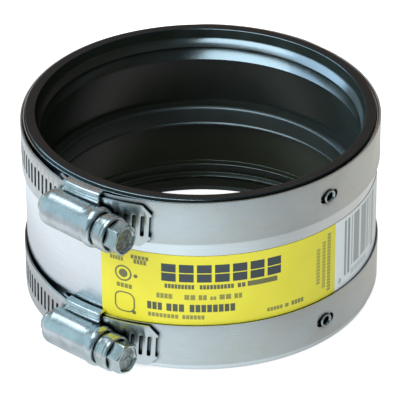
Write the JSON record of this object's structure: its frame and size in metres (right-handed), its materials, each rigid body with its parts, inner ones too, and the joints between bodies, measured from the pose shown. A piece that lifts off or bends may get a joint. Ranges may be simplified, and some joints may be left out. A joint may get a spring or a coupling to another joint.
{
  "type": "flexible pipe coupling",
  "caption": "Short rubber pipe sleeve in a rolled metal shield, closed by worm-drive band clamps near its ends, with a printed label round its middle.",
  "frame": {"origin": "centre of the whole coupling's bounding box, clamp screws included, at the level of the sleeve's lower end face; the bore axis is 4.6 mm behind it, at x = 0, y = +0.0046 m", "axes": "+Z along the bore, towards the end with the upper clamp; -Y towards the front, between the clamp screws and the eyelets; +X to the right seen from the front"},
  "size_m": [0.0994, 0.1092, 0.054],
  "materials": {
    "rubber": "matte black moulded rubber",
    "shield_steel": "bright rolled sheet",
    "band_steel": "satin strip with fine lengthwise grain",
    "housing_steel": "smooth pressed sheet",
    "screw_steel": "bright plated",
    "eyelet_steel": "polished rim",
    "label": "printed self-adhesive film, yellow and white"
  },
  "bodies": {
    "coupling": {"gasket": "rubber", "shield": "shield_steel", "label": "label", "upper_band": "band_steel", "upper_saddle": "housing_steel", "upper_housing": "housing_steel", "upper_eyelet": "eyelet_steel", "lower_band": "band_steel", "lower_saddle": "housing_steel", "lower_housing": "housing_steel", "lower_eyelet": "eyelet_steel"},
    "upper_screw": {"upper_screw": "screw_steel"},
    "lower_screw": {"lower_screw": "screw_steel"}
  },
  "joints": [
    {"name": "upper_screw_turn", "type": "hinge", "parent": "coupling", "child": "upper_screw", "pos_m": [-0.03395, -0.0387, 0.04624], "axis": [0.7431, -0.6691, 0], "range_deg": [-1080, 3240]},
    {"name": "lower_screw_turn", "type": "hinge", "parent": "coupling", "child": "lower_screw", "pos_m": [-0.03433, -0.03828, 0.00802], "axis": [0.7604, -0.6494, 0], "range_deg": [-1080, 3240]}
  ]
}
